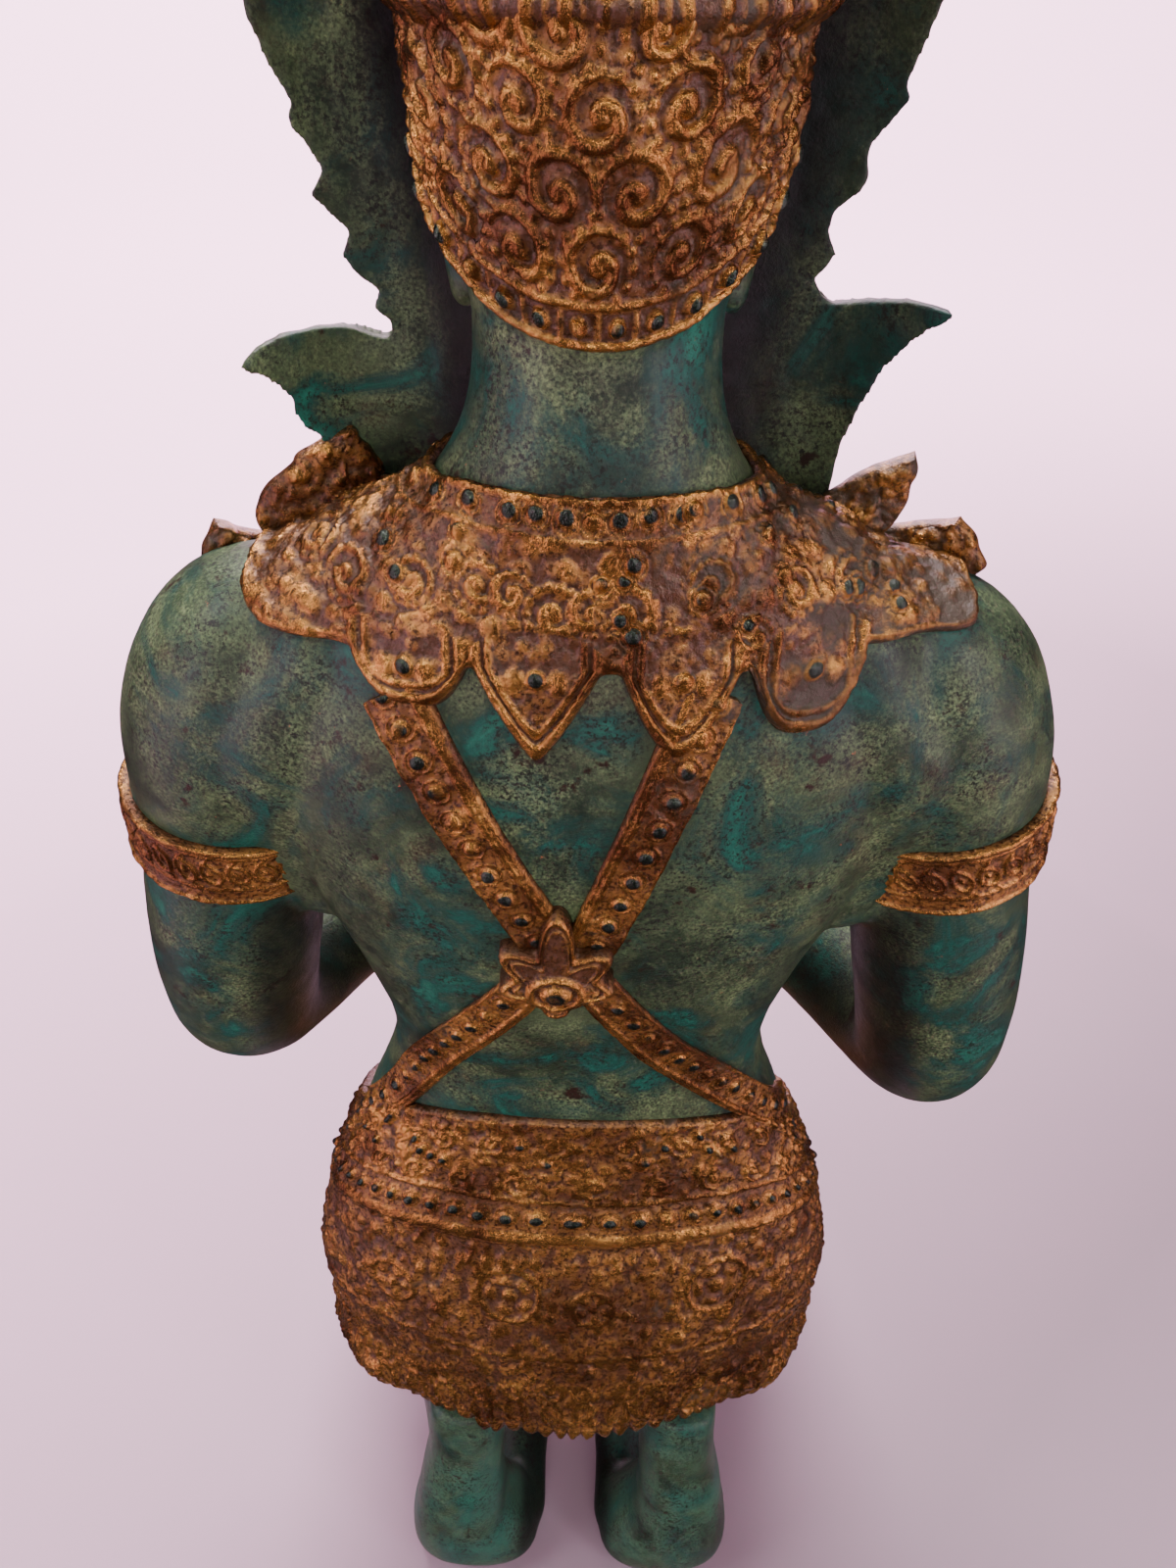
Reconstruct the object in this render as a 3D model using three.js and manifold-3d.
// Kneeling thepphanom figure, cast in one piece, hands together in worship.
// Millimetres, +Z up. The figure faces -Y and rests on its knees and toes at z = 0.
import * as THREE from 'three';
import { mergeVertices } from 'three/addons/utils/BufferGeometryUtils.js';
import Module from 'manifold-3d';

const wasm = await Module();
wasm.setup();

const LEFT = 1; // the figure's left, +X
const RIGHT = -1; // the figure's right, -X
const SIDES = [LEFT, RIGHT];

// The torso's upright middle line, measured from the middle of the whole figure's footprint
const torsoAxis = { x: 2.45, y: 30.93 };

// Torso sections from seat to throat: height, middle y, half width, half depth, squareness
const torsoRows = [
  [60, 8, 34, 24, 2.0],
  [68, 7, 43, 29, 1.9],
  [80, 6, 53, 31, 1.8],
  [104, 5, 57, 30, 1.9],
  [128, 2, 52, 26, 2.2],
  [150, -0.5, 44, 21.5, 2.3],
  [173, -1.5, 37, 20, 2.3],
  [196, -0.5, 41, 22.5, 2.3],
  [222, 0, 50, 26.3, 2.3],
  [246, 0, 55.5, 27, 2.3],
  [262, 0.5, 52, 25, 2.3],
  [277, 2, 40, 20, 2.2],
  [289, 3, 24.5, 17, 2.1],
  [303, 3, 17, 15.5, 2],
  [326, 0, 17, 15, 2],
];
const longestRise = 25; // torso sections further apart than this get one more between
const torsoSides = 24;
const spineGroove = { depth: 1.6, halfWidth: 7, bottom: 165, top: 250 };

// Arms: x away from the middle, y, z, radius. Upper arm first, then the forearm to the wrist
const armRows = [
  [40, 0, 263, 14],
  [52, -1, 258, 17.5],
  [58, -2, 246, 18.6],
  [61, -3, 232, 17.4],
  [63.6, -4, 216, 16.4],
  [66.5, -5, 199, 16.4],
  [69, -7, 182, 15.8],
  [70, -12, 167, 15],
  [65, -24, 161, 14],
  [53, -37, 163, 12.6],
  [35, -48, 169, 11],
  [18, -55, 176, 9.2],
  [8, -58, 183, 8],
];
const armSides = 12;
const elbowRow = 8;
const elbowDrop = { [LEFT]: 0, [RIGHT]: 9 };
const elbowSpread = { [LEFT]: 0, [RIGHT]: 5 };
const elbowReach = { from: 246, to: 165 }; // heights between which the elbow's drop grows
const armbands = [{ from: 3.1, to: 3.85, raise: 1.8 }, { from: 11.1, to: 11.8, raise: 1.6 }];
const shoulderBladeRows = [
  [38, 3, 262, 16],
  [47, 1.5, 248, 17.5],
  [48.5, 0, 231, 14],
  [46, 0, 214, 9.5],
];

// Hands pressed together: height, half thickness of one palm, middle y, half width
const handRows = [
  [178, 5.5, -59, 7.5],
  [188, 6.5, -61, 9.5],
  [200, 5.8, -62, 10.5],
  [212, 4.6, -62, 9.5],
  [222, 3.6, -62, 7],
  [231, 2.4, -62, 3.5],
];
const handSides = 8;
const thumb = { from: [4, -50, 192], to: [3.2, -50.5, 212], radius: 3.2 };

// Legs: x away from the middle, y, z, half width, half height
const thighRows = [
  [27, 14, 82, 25.5, 24],
  [30.5, -6, 79, 27, 25.5],
  [34, -30, 69, 26, 24],
  [37, -58, 53, 23.5, 22],
  [39, -80, 38, 20, 19.5],
  [39, -88, 31, 17.5, 17.5],
];
const shinRows = [
  [39, -85, 16.5, 17, 18.5],
  [38, -60, 19, 17, 18],
  [35, -30, 25, 16, 15],
  [30, -4, 31, 13, 13],
  [25, 16, 38, 10.5, 11.5],
  [23, 30, 46, 9.5, 11],
];
const legSides = 12;
const footMiddle = { [LEFT]: 22.5, [RIGHT]: -25 };
// Upright foot: height, x towards the outside, half width, front y, back y
const footRows = [
  [0, 0.8, 15.8, 17, 40],
  [8, 0.8, 16.6, 17, 42.6],
  [16, 1.7, 15.6, 18, 42.2],
  [26, 2.2, 13, 20, 40.6],
  [38, 1.6, 11.8, 20, 38.2],
  [52, 0.3, 10.8, 18, 37.2],
  [74, -0.6, 10.4, 18, 36.6],
];
const footSides = 12;
const soleSquareness = 3.2;
const toe = { count: 5, pitch: 6.4, radius: 4.1, shrink: 0.45, big: 2, reach: 19, from: 22, middle: 1.5 };

// Head sections: height, front y, back y, half width
const headRows = [
  [300, -19, 2, 7],
  [304, -23.5, 10, 12],
  [311, -25, 17, 16],
  [320, -25.5, 19.5, 18.6],
  [332, -25.5, 20.6, 20.8],
  [346, -25.5, 20.8, 21.4],
  [358, -23, 19, 19.5],
  [368, -16, 12, 13],
];
const headSides = 16;
const nose = { bridge: 335, base: 321.5, reach: 5.2, halfWidth: 3.6, tipWidth: 4.6 };
const eye = { x: 8.6, z: 333, halfWidth: 5, halfHeight: 1.9, raise: 1.2 };
const brow = { x: 8.8, z: 338.2, halfWidth: 6.2, halfHeight: 1.1, raise: 1.6 };
const lips = { z: 315.6, halfWidth: 6.4, halfHeight: 2.3, raise: 2.2 };
const ear = { x: 20.3, y: -3, top: 340, bottom: 311, halfWidth: 4, thickness: 3.4 };

// Crown: cap over the back of the head, rings, tiers and a spire on one axis
const capRaise = 2.6;
const capRim = { nape: [30, 304], side: [0, 328], brow: -27.3, top: 349 };
const crownAxisY = -2;
const crownProfile = [
  [22.5, 344], [26.2, 347], [23.4, 352], [22.8, 358], [20.2, 360.5], [20.4, 365],
  [16.4, 371], [16.8, 375], [12.6, 382], [13, 386], [9.4, 393], [9.6, 397],
  [6.2, 408], [8.6, 417], [6.6, 427], [4.2, 434], [4.9, 438], [3.2, 444], [0, 492],
];
const crownSides = 12;
const diadem = { leaves: 7, spread: 2.7, radius: 25.6, foot: 346, tall: 28, low: 15, lean: 0.22 };
const diademLeaf = [0.3, 0.68, 1, 0.68]; // share of the leaf's height at quarters of its width
const leafThickness = 2;

// Flame-edged flanges beside the head: outlines in x and z, first the outer edge upwards
const flangeOutlines = {
  [LEFT]: [
    [40, 285], [40.4, 291.5], [43.1, 296.5], [45.9, 301.8], [48.2, 303.7], [46.5, 305.4],
    [40.4, 306.6], [34.2, 305.6], [29.5, 304], [31.9, 308.4], [30.8, 310.4], [35.3, 315.3],
    [33.9, 318.3], [38.4, 323.2], [36.4, 325.8], [40, 332], [39.2, 333.8], [44, 345],
    [48, 362], [51, 376], [54, 393],
  ],
  [RIGHT]: [
    [36.4, 285], [36.7, 291], [39, 299.3], [42, 306.2], [46.7, 312.3], [43.3, 312.9],
    [32.8, 310.6], [29.7, 313.5], [32, 317], [30.9, 319.8], [35, 326.5], [34.5, 329],
    [38.4, 336], [37.6, 337.6], [40, 346.5], [44, 360], [48, 373], [54, 393],
  ],
};
const flangeInnerEdge = [[44, 379], [36, 366], [27, 356], [19, 340], [17, 310], [15, 285]];
const flange = {
  rootX: 19, rootY: -11, edgeX: 45, edgeY: -3, hollow: 5, thickness: 2.8, low: 280, high: 400,
};

// Collar: neckline height, shoulder ends and the pendants along its lower edge
const collar = { raise: 1.9, neckline: 293, lower: 273, ends: [[48.5, 271.5], [-54.5, 273]] };
const backPendants = [
  { x: 24.6, half: 8.5, tip: 264.6, power: 3 },
  { x: 6.9, half: 9.2, tip: 257.8, power: 1.25 },
  { x: -12.6, half: 8.5, tip: 258.6, power: 1.6 },
  { x: -30.4, half: 8.2, tip: 261.4, power: 3 },
];
const frontPendants = [26, 0, -26].map((x) => ({ x, half: 9, tip: x ? 258 : 250, power: 1.1 }));

// Crossed sashes with a flower where they meet
const crossing = { x: 3.8, z: 214.3 };
const sash = { width: 8.4, raise: 1.8 };
const upperSashes = [[[2.5, 216.5], [28.6, 270]], [[0.5, 214.5], [-17.6, 272]]];
const lowerSashes = [[[4.5, 215.5], [22.5, 186.7], [44, 149]], [[1.5, 215], [-16.3, 186.9], [-44, 151]]];
const flower = { lobe: 9, pinch: 5.7, top: 7, from: 20, to: 27.6, corners: 12, boss: 3.6, bossSides: 6 };

// Belt and hip cloth, their edges as y and z across the figure
const beltRaise = 2.4;
const beltTop = [[40, 173], [20, 162.5], [10, 157], [0, 148], [-14, 143], [-60, 141]];
const beltLow = [[60, 134], [25, 134], [12, 128], [0, 122], [-14, 119], [-60, 119]];
const clothRaise = 2.2;
const clothFront = -52;
const clothHem = [[60, 79], [24, 78], [10, 71], [0, 64], [-20, 52], [-52, 46]];
const hem = { teeth: 15, spread: 2.7, z: 80, height: 6, drop: 5, raise: 3.4, inner: -2 };
const kneeBands = [{ from: 3.35, to: 3.7, raise: 1.6 }];
const frontClothRows = [[-16, 132, 9], [-30, 104, 9], [-50, 78, 10], [-62, 62, 13], [-64, 44, 2]];
const frontClothThickness = { middle: 2.4, back: 12, drop: 4 };

// Small upright curls on the shoulders
const shoulderCurls = [
  { x: 41, y: -9, z: 273, width: 17, height: 17, turn: 0.25 },
  { x: -40, y: -9, z: 274, width: 14, height: 16, turn: -0.2 },
  { x: 55, y: -10, z: 266, width: 10, height: 11.5, turn: 0.5 },
  { x: -53, y: -10, z: 266, width: 10, height: 11.5, turn: -0.5 },
];

const coverDepth = 60; // reach of the outlines that trim the covers on the trunk

const bronze = new THREE.MeshStandardMaterial({ color: 0x3f5a48, roughness: 0.5, metalness: 0.55 });

const vector = (x, y, z) => new THREE.Vector3(x, y, z);
const X = vector(1, 0, 0);
const Y = vector(0, 1, 0);
const Z = vector(0, 0, 1);

// A row of a table at any place between its rows, along a smooth curve
function rowAt(rows, place, keys = rows.map((row) => row[0])) {
  const last = keys.length - 1;
  let i = 0;
  while (i < last - 1 && place > keys[i + 1]) i += 1;
  const span = keys[i + 1] - keys[i];
  const t = Math.min(Math.max((place - keys[i]) / span, 0), 1);
  const slope = (j, column) => {
    const a = Math.max(j - 1, 0);
    const b = Math.min(j + 1, last);
    return ((rows[b][column] - rows[a][column]) / (keys[b] - keys[a])) * span;
  };
  return rows[i].map((value, column) => (
    (2 * t ** 3 - 3 * t ** 2 + 1) * value
    + (t ** 3 - 2 * t ** 2 + t) * slope(i, column)
    + (3 * t ** 2 - 2 * t ** 3) * rows[i + 1][column]
    + (t ** 3 - t ** 2) * slope(i + 1, column)
  ));
}

// Points round a section that is an ellipse, or squarer where the power is over 2
function ring(centre, across, through, halfWidth, halfDepth, sides, power = 2) {
  const points = [];
  for (let i = 0; i < sides; i += 1) {
    const angle = (2 * Math.PI * i) / sides;
    const u = Math.sign(Math.cos(angle)) * Math.abs(Math.cos(angle)) ** (2 / power);
    const v = Math.sign(Math.sin(angle)) * Math.abs(Math.sin(angle)) ** (2 / power);
    points.push(centre.clone()
      .addScaledVector(across, u * halfWidth)
      .addScaledVector(through, v * halfDepth));
  }
  return points;
}

// A closed body skinned over rings of equal length
function skin(rings) {
  const sides = rings[0].length;
  const points = rings.flat();
  const faces = [];
  for (let r = 0; r + 1 < rings.length; r += 1) {
    for (let i = 0; i < sides; i += 1) {
      const j = (i + 1) % sides;
      const [a, b] = [r * sides + i, r * sides + j];
      faces.push([a, b, b + sides], [a, b + sides, a + sides]);
    }
  }
  [0, rings.length - 1].forEach((r) => {
    const middle = rings[r].reduce((sum, p) => sum.add(p), vector(0, 0, 0)).divideScalar(sides);
    points.push(middle);
    for (let i = 0; i < sides; i += 1) {
      const [a, b] = [r * sides + i, r * sides + ((i + 1) % sides)];
      faces.push(r === 0 ? [b, a, points.length - 1] : [a, b, points.length - 1]);
    }
  });
  const volume = faces.reduce((sum, [a, b, c]) => (
    sum + points[a].dot(points[b].clone().cross(points[c]))), 0);
  const turned = volume < 0 ? faces.map(([a, b, c]) => [a, c, b]) : faces;
  const geometry = new THREE.BufferGeometry().setFromPoints(points);
  geometry.setIndex(turned.flat());
  return geometry;
}

function solid(source) {
  const geometry = source.index ? source : source.clone();
  geometry.deleteAttribute('normal');
  geometry.deleteAttribute('uv');
  const merged = mergeVertices(geometry, 1e-4);
  const vertProperties = new Float32Array(merged.attributes.position.array);
  const triVerts = new Uint32Array(merged.index.array);
  return new wasm.Manifold(new wasm.Mesh({ numProp: 3, vertProperties, triVerts }));
}

const join = (parts) => parts.reduce((whole, part) => whole.add(part));

// A prism with its outline in x and z, from one y to another
function prismY(outline, from, to) {
  const shape = new THREE.Shape(outline.map(([x, z]) => new THREE.Vector2(x, z)));
  const geometry = new THREE.ExtrudeGeometry(shape, { depth: to - from, bevelEnabled: false });
  geometry.rotateX(Math.PI / 2);
  geometry.translate(0, to, 0);
  return solid(geometry);
}

// A prism with its outline in y and z, right across the figure
function prismX(outline) {
  const reach = 100;
  const shape = new THREE.Shape(outline.map(([y, z]) => new THREE.Vector2(y, z)));
  const geometry = new THREE.ExtrudeGeometry(shape, { depth: 2 * reach, bevelEnabled: false });
  geometry.translate(0, 0, -reach);
  geometry.applyMatrix4(new THREE.Matrix4().makeBasis(Y, Z, X));
  return solid(geometry);
}

// Places along a limb's rows, with a raised step for each band
function placesWith(bands, last) {
  const places = Array.from({ length: last + 1 }, (_, i) => [i, 0]);
  bands.forEach(({ from, to, raise }) => {
    places.push([from - 0.01, 0], [from, raise], [to, raise], [to + 0.01, 0]);
  });
  const inBand = ([t, raise]) => !raise && bands.some(({ from, to }) => t >= from && t <= to);
  return places.filter((place) => !inBand(place)).sort((p, q) => p[0] - q[0]);
}

// A limb along a smooth line of rows: x, y, z, half width, half height or one radius
function limb(rows, sides, { raise = 0, to = rows.length - 1, bands = [], domes = [1, 1] } = {}) {
  const keys = rows.map((row, i) => i);
  const stations = placesWith(bands, to).map(([place, step]) => {
    const row = rowAt(rows, place, keys);
    return {
      at: vector(row[0], row[1], row[2]),
      wide: row[3] + raise + step,
      high: (row[4] ?? row[3]) + raise + step,
    };
  });
  const count = stations.length - 1;
  let across = X.clone();
  const rings = stations.map((station, i) => {
    const before = stations[Math.max(i - 1, 0)].at;
    const after = stations[Math.min(i + 1, count)].at;
    const ahead = after.clone().sub(before).normalize();
    across = across.clone().addScaledVector(ahead, -across.dot(ahead)).normalize();
    const through = ahead.clone().cross(across);
    return { ...station, ahead, across, through };
  });
  const domeRing = (end, sign) => ({
    ...end,
    at: end.at.clone().addScaledVector(end.ahead, sign * end.high * 0.62),
    wide: end.wide * 0.72,
    high: end.high * 0.72,
  });
  if (domes[0]) rings.unshift(domeRing(rings[0], -1));
  if (domes[1]) rings.push(domeRing(rings[rings.length - 1], 1));
  return solid(skin(rings.map((r) => ring(r.at, r.across, r.through, r.wide, r.high, sides))));
}

const mirrored = (rows, side) => rows.map(([x, ...rest]) => [side * x, ...rest]);

// Torso with a groove down the spine
function torsoPoint(height, angle, raise = 0) {
  const [z, y, wide, deep, power] = rowAt(torsoRows, height);
  const c = Math.cos(angle);
  const s = Math.sin(angle);
  const point = vector(
    Math.sign(c) * Math.abs(c) ** (2 / power) * (wide + raise),
    y + Math.sign(s) * Math.abs(s) ** (2 / power) * (deep + raise),
    z,
  );
  const { depth, halfWidth, bottom, top } = spineGroove;
  if (s > 0 && z > bottom && z < top) {
    const along = Math.sin((Math.PI * (z - bottom)) / (top - bottom));
    point.y -= depth * along * Math.exp(-((point.x / halfWidth) ** 2));
  }
  return point;
}

function torso(raise = 0) {
  const heights = torsoRows.flatMap(([z], i) => {
    const next = torsoRows[Math.min(i + 1, torsoRows.length - 1)][0];
    return next - z > longestRise ? [z, (z + next) / 2] : [z];
  });
  const rings = heights.map((height) => Array.from({ length: torsoSides }, (_, k) => (
    torsoPoint(height, (2 * Math.PI * k) / torsoSides, raise))));
  return solid(skin(rings));
}

function armPath(side) {
  const { from, to } = elbowReach;
  return mirrored(armRows, side).map(([x, y, z, radius], i) => {
    const reach = Math.min(Math.max((from - z) / (from - to), 0), 1);
    const fade = i < elbowRow ? reach : (armRows.length - 1 - i) / (armRows.length - elbowRow);
    return [x + side * elbowSpread[side] * fade, y, z - elbowDrop[side] * fade, radius];
  });
}

const arm = (side, options) => limb(armPath(side), armSides, { domes: [0, 0], ...options });

const shoulderBlade = (side, raise = 0) => (
  limb(mirrored(shoulderBladeRows, side), armSides, { raise, domes: [0, 1] })
);

function hands() {
  return join(SIDES.flatMap((side) => {
    const palm = solid(skin(handRows.map(([z, thick, y, wide]) => (
      ring(vector(side * (thick - 0.2), y, z), X, Y, thick, wide, handSides, 2.6)))));
    const thumbRows = [thumb.from, thumb.to].map(([x, y, z]) => [side * x, y, z, thumb.radius]);
    return [palm, limb(thumbRows, 6, { domes: [0, 1] })];
  }));
}

function leg(side, raise = 0, part = 'all') {
  const bands = part === 'thigh' ? [] : kneeBands;
  const thigh = limb(mirrored(thighRows, side), legSides, { raise, bands, domes: [0, 1] });
  if (part === 'thigh') return thigh;
  return thigh.add(limb(mirrored(shinRows, side), legSides, { raise, domes: [1, 0] }));
}

function foot(side) {
  const middle = footMiddle[side];
  const sole = solid(skin(footRows.map(([z, out, half, front, back]) => (
    ring(vector(middle + side * out, (front + back) / 2, z), X, Y, half, (back - front) / 2, footSides,
      soleSquareness)))));
  const toes = Array.from({ length: toe.count }, (_, i) => {
    const x = middle + side * (toe.pitch * (i - (toe.count - 1) / 2) + toe.middle);
    const radius = toe.radius - toe.shrink * i + (i === 0 ? toe.big : 0);
    const y = toe.from - toe.reach * (1 - 0.1 * i) + radius;
    return limb([[x, toe.from + 6, radius, radius], [x, y, radius, radius]], 6, { domes: [0, 1] });
  });
  return join([sole, ...toes]);
}

// A small domed form on the face: an ellipse in x and z raised towards -Y
function faceForm(x, z, halfWidth, halfHeight, raise, sides = 6) {
  const [, front, back, wide] = rowAt(headRows, z);
  const y = (front + back) / 2 - ((back - front) / 2) * Math.sqrt(1 - (x / wide) ** 2);
  const slope = Math.asin(x / wide);
  const across = vector(Math.cos(slope), Math.sin(slope), 0);
  const out = vector(Math.sin(slope), -Math.cos(slope), 0);
  const place = (depth, scale) => ring(
    vector(x, y, z).addScaledVector(out, depth), across, Z, halfWidth * scale, halfHeight * scale, sides);
  return solid(skin([place(-3, 1), place(0.2 * raise, 1), place(raise, 0.55)]));
}

function skullBody(raise) {
  return solid(skin(headRows.map(([z, front, back, wide]) => (
    ring(vector(0, (front + back) / 2, z), X, Y, wide + raise, (back - front) / 2 + raise, headSides)))));
}

function head() {
  const skull = skullBody(0);
  const noseRings = [0, 0.35, 0.8, 1].map((t) => {
    const z = nose.bridge + (nose.base - nose.bridge) * t;
    const [, front] = rowAt(headRows, z);
    const half = nose.halfWidth * 0.6 + (nose.tipWidth - nose.halfWidth * 0.6) * t * t;
    const reach = t === 1 ? nose.reach * 0.55 : 1 + nose.reach * t;
    const face = front + 2;
    return [vector(-half, face, z), vector(-half * 0.45, face - 2 - reach * 0.8, z),
      vector(0, face - 2 - reach, z), vector(half * 0.45, face - 2 - reach * 0.8, z), vector(half, face, z)];
  });
  const forms = [solid(skin(noseRings)), faceForm(0, lips.z, lips.halfWidth, lips.halfHeight, lips.raise, 8)];
  SIDES.forEach((side) => {
    forms.push(faceForm(side * eye.x, eye.z, eye.halfWidth, eye.halfHeight, eye.raise));
    forms.push(faceForm(side * brow.x, brow.z, brow.halfWidth, brow.halfHeight, brow.raise));
    const earRings = [0, 0.5, 1].map((t) => {
      const half = ear.halfWidth * (0.45 + 0.55 * Math.sin(Math.PI * Math.min(t * 1.15 + 0.2, 1)));
      const z = ear.bottom + (ear.top - ear.bottom) * t;
      return ring(vector(side * (ear.x - 1.2 * (1 - t)), ear.y, z), X, Y, ear.thickness, half, 6);
    });
    forms.push(solid(skin(earRings)));
  });
  return join([skull, ...forms]);
}

// A pointed leaf seen from the front: half width at a share of its height
const leafHalf = (t) => Math.sin(Math.PI * (0.18 + 0.82 * t) ** 0.9) ** 0.9;

function leafOutline(width, height, steps = 3) {
  const right = [];
  const left = [];
  for (let i = 0; i < steps; i += 1) {
    const t = i / steps;
    right.push([(width / 2) * leafHalf(t), height * t]);
    left.unshift([(-width / 2) * leafHalf(t), height * t]);
  }
  return [...right, [0, height], ...left];
}

// A leaf plate standing at a place, turned about Z and leaning outwards
function leafPlate(width, height, thickness, place, turn, lean) {
  const outline = leafOutline(width, height).map(([x, z]) => new THREE.Vector2(x, z));
  const geometry = new THREE.ExtrudeGeometry(new THREE.Shape(outline), { depth: thickness, bevelEnabled: false });
  geometry.rotateX(Math.PI / 2);
  geometry.translate(0, thickness / 2, 0);
  geometry.rotateX(lean);
  geometry.rotateZ(turn);
  geometry.translate(...place);
  return solid(geometry);
}

function crown() {
  const above = [capRim.nape, capRim.side, [capRim.brow, capRim.top], [capRim.nape[0], capRim.top]];
  const cap = skullBody(capRaise).intersect(prismX(above));
  const profile = [[0, crownProfile[0][1]], ...crownProfile].map(([r, z]) => new THREE.Vector2(r, z));
  const lathe = new THREE.LatheGeometry(profile, crownSides);
  lathe.rotateX(Math.PI / 2);
  lathe.translate(0, crownAxisY, 0);
  const steps = diademLeaf.length;
  const count = diadem.leaves * steps;
  const leaves = Array.from({ length: count + 1 }, (_, i) => {
    const place = i / count - 0.5;
    const turn = place * diadem.spread;
    const tall = diadem.low + (diadem.tall - diadem.low) * Math.cos(Math.PI * place) ** 2;
    const height = tall * diademLeaf[i % steps];
    const corner = (radius, z) => (
      vector(radius * Math.sin(turn), crownAxisY - radius * Math.cos(turn), diadem.foot + z));
    const { radius, lean } = diadem;
    return [corner(radius + 1, 0), corner(radius + height * lean, height),
      corner(radius + height * lean - leafThickness, height - 1), corner(radius - 4, 0)];
  });
  return join([cap, solid(lathe), solid(skin(leaves))]);
}

// One flange: a plate hollow towards the back, cut to the flame outline
function flangeBody(side) {
  const { rootX, rootY, edgeX, edgeY, hollow, thickness, low, high } = flange;
  const shares = [-0.2, 0.15, 0.5, 0.85, 1.6];
  const rings = [low, high].map((z) => {
    const back = shares.map((t) => vector(
      side * (rootX + (edgeX - rootX) * t),
      rootY + (edgeY - rootY) * t - hollow * 4 * t * (1 - t),
      z,
    ));
    const front = back.map((p) => p.clone().add(vector(0, -thickness, 0)));
    return [...back, ...front.reverse()];
  });
  const outline = [...flangeOutlines[side], ...flangeInnerEdge].map(([x, z]) => [side * x, z]);
  return solid(skin(rings)).intersect(prismY(outline, -coverDepth, coverDepth));
}

// The collar's lower edge, with pendants that hang from it
function collarOutline(pendants) {
  const { ends: [[leftX, leftZ], [rightX, rightZ]], lower, neckline } = collar;
  const points = [[leftX, neckline], [leftX, leftZ]];
  pendants.forEach(({ x, half, tip, power }) => {
    const steps = 2;
    for (let i = -steps; i <= steps; i += 1) {
      const share = 1 - Math.abs(i / steps) ** power;
      points.push([x - (half * i) / steps, lower - 1 + (tip - lower) * share]);
    }
  });
  points.push([rightX, rightZ], [rightX, neckline]);
  return points;
}

function sashOutline(points, width) {
  const edge = (sign) => points.map(([x, z], i) => {
    const [ax, az] = points[Math.max(i - 1, 0)];
    const [bx, bz] = points[Math.min(i + 1, points.length - 1)];
    const length = Math.hypot(bx - ax, bz - az);
    const [nx, nz] = [-(bz - az) / length, (bx - ax) / length];
    return [x + (sign * nx * width) / 2, z + (sign * nz * width) / 2];
  });
  return [...edge(1), ...edge(-1).reverse()];
}

function trunkCover(raise) {
  return join([torso(raise), ...SIDES.flatMap((side) => [arm(side, { raise, to: 4 }), shoulderBlade(side, raise)])]);
}

function collarBody() {
  const back = prismY(collarOutline(backPendants), 0, coverDepth);
  const front = prismY(collarOutline(frontPendants), -coverDepth, 0);
  return trunkCover(collar.raise).intersect(back.add(front));
}

function sashes() {
  const strips = [
    ...upperSashes.map((line) => prismY(sashOutline(line, sash.width), -coverDepth, coverDepth)),
    ...lowerSashes.map((line) => prismY(sashOutline(line, sash.width), 0, coverDepth)),
  ];
  const outline = Array.from({ length: flower.corners }, (_, i) => {
    const angle = (2 * Math.PI * i) / flower.corners;
    const reach = i % 3 === 0 ? flower.lobe : flower.pinch;
    const top = i === 3 ? flower.top : 0;
    return [crossing.x + reach * Math.cos(angle), crossing.z + (reach + top) * Math.sin(angle)];
  });
  const plate = prismY(outline, flower.from, flower.to);
  const bossRing = (y, scale) => ring(
    vector(crossing.x, y, crossing.z - 1), X, Z, flower.boss * scale, 0.85 * flower.boss * scale, flower.bossSides);
  const boss = solid(skin([
    bossRing(flower.to - 2, 1), bossRing(flower.to + 0.4, 1), bossRing(flower.to + 1.6, 0.6)]));
  return join([torso(sash.raise).intersect(join(strips)), plate, boss]);
}

function belt() {
  const outline = [...beltTop, ...[...beltLow].reverse()];
  return torso(beltRaise).intersect(prismX(outline));
}

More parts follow.
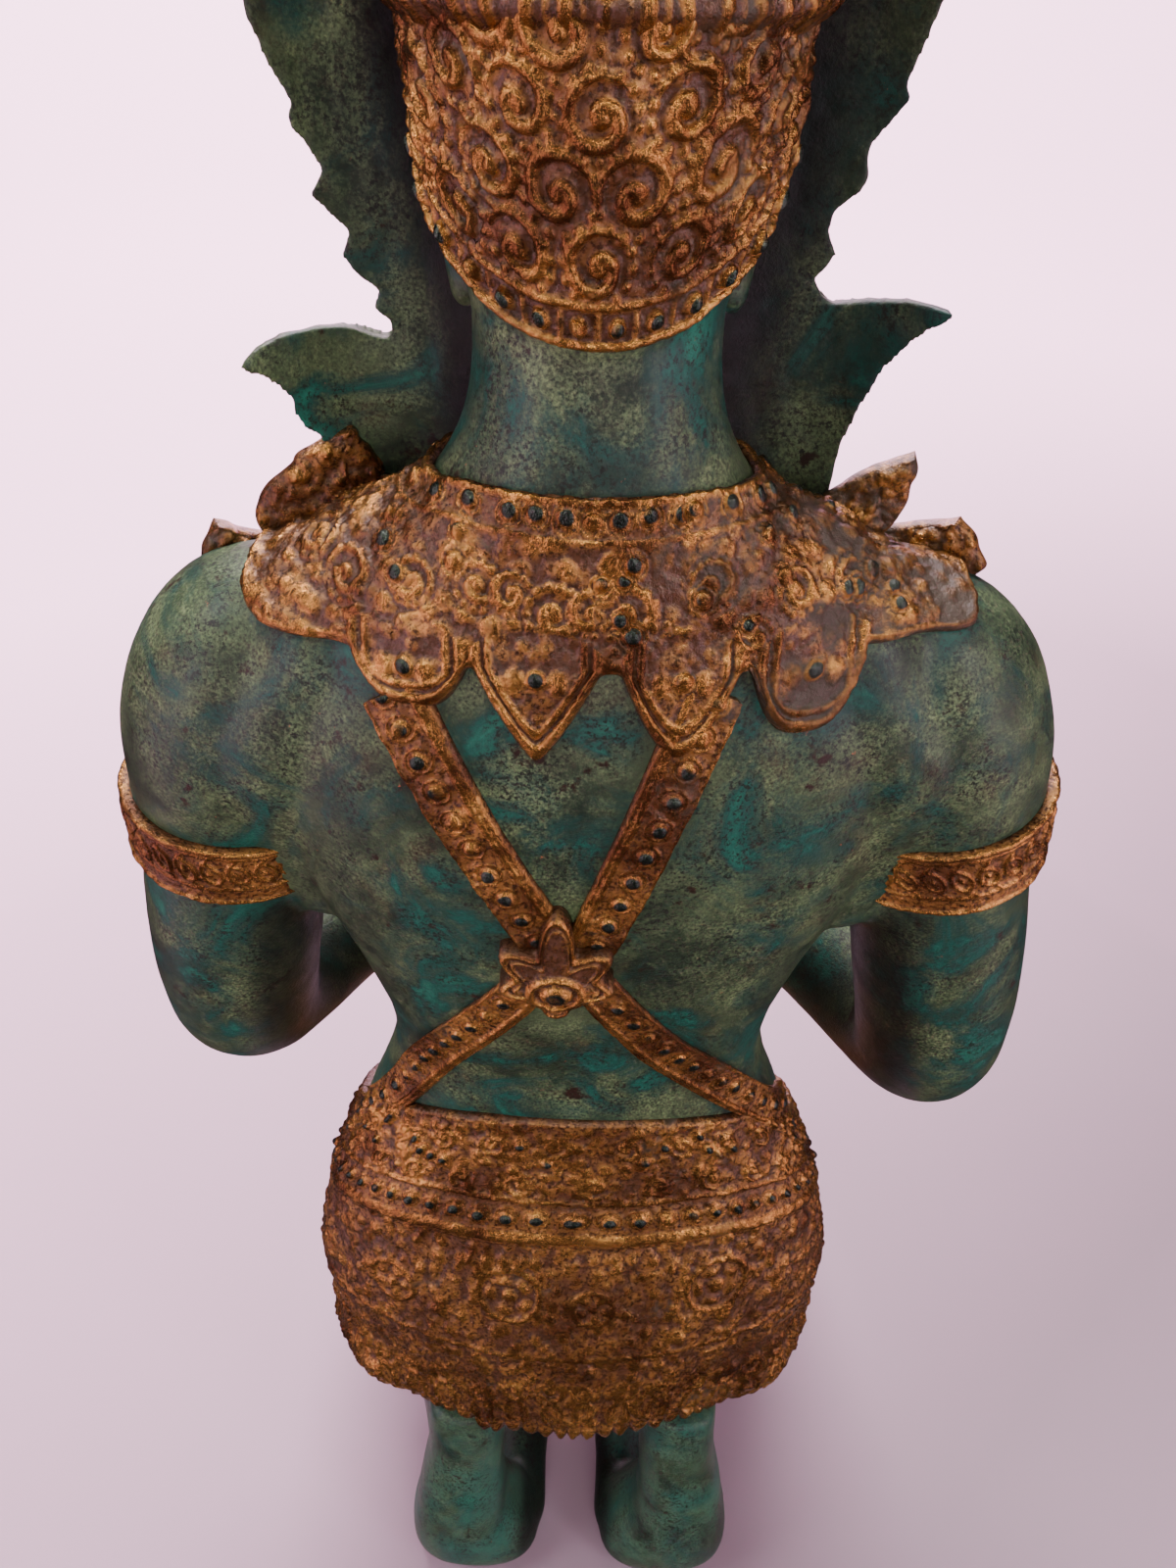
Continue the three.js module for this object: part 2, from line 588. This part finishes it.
// Cloth over seat and thighs, with a toothed border along its hem at the back
function hipCloth() {
  const cover = join([torso(clothRaise), ...SIDES.map((side) => leg(side, clothRaise, 'thigh'))]);
  const outline = [[60, 140], ...clothHem, [clothFront, 140]];
  const edge = Array.from({ length: 2 * hem.teeth + 1 }, (_, i) => {
    const angle = Math.PI / 2 + hem.spread * (i / (2 * hem.teeth) - 0.5);
    const bottom = hem.z - (i % 2 ? hem.drop : 0.2 * hem.drop);
    const outer = torsoPoint(hem.z, angle, hem.raise);
    const inner = torsoPoint(hem.z, angle, hem.inner);
    return [[outer, hem.z + hem.height], [outer, bottom], [inner, bottom], [inner, hem.z + hem.height]]
      .map(([p, z]) => vector(p.x, p.y, z));
  });
  return cover.intersect(prismX(outline)).add(solid(skin(edge)));
}

// A pointed panel that hangs from the belt between the thighs
function frontPanel() {
  const { middle, back, drop } = frontClothThickness;
  return solid(skin(frontClothRows.map(([y, z, half]) => [
    vector(-half, y, z), vector(0, y - middle, z + 1), vector(half, y, z),
    vector(half, y + back, z - drop), vector(-half, y + back, z - drop),
  ])));
}

const ground = prismX([[-200, -60], [200, -60], [200, 0], [-200, 0]]);
const body = join([
  torso(),
  ...SIDES.flatMap((side) => [arm(side, { bands: armbands }), shoulderBlade(side)]),
  hands(),
  ...SIDES.map((side) => leg(side)),
  ...SIDES.map(foot),
  head(),
  crown(),
  ...SIDES.map(flangeBody),
  collarBody(),
  sashes(),
  belt(),
  hipCloth(),
  frontPanel(),
  ...shoulderCurls.map(({ x, y, z, width, height, turn }) => (
    leafPlate(width, height, leafThickness, [x, y, z], turn, 0))),
]).subtract(ground);

const mesh = body.getMesh();
const geometry = new THREE.BufferGeometry();
geometry.setAttribute('position', new THREE.BufferAttribute(mesh.vertProperties, 3));
geometry.setIndex(new THREE.BufferAttribute(mesh.triVerts, 1));
geometry.translate(torsoAxis.x, torsoAxis.y, 0);
geometry.computeVertexNormals();

const figure = new THREE.Mesh(geometry, bronze);
figure.name = 'thepphanom_figure';
const group = new THREE.Group();
group.add(figure);

export default group;
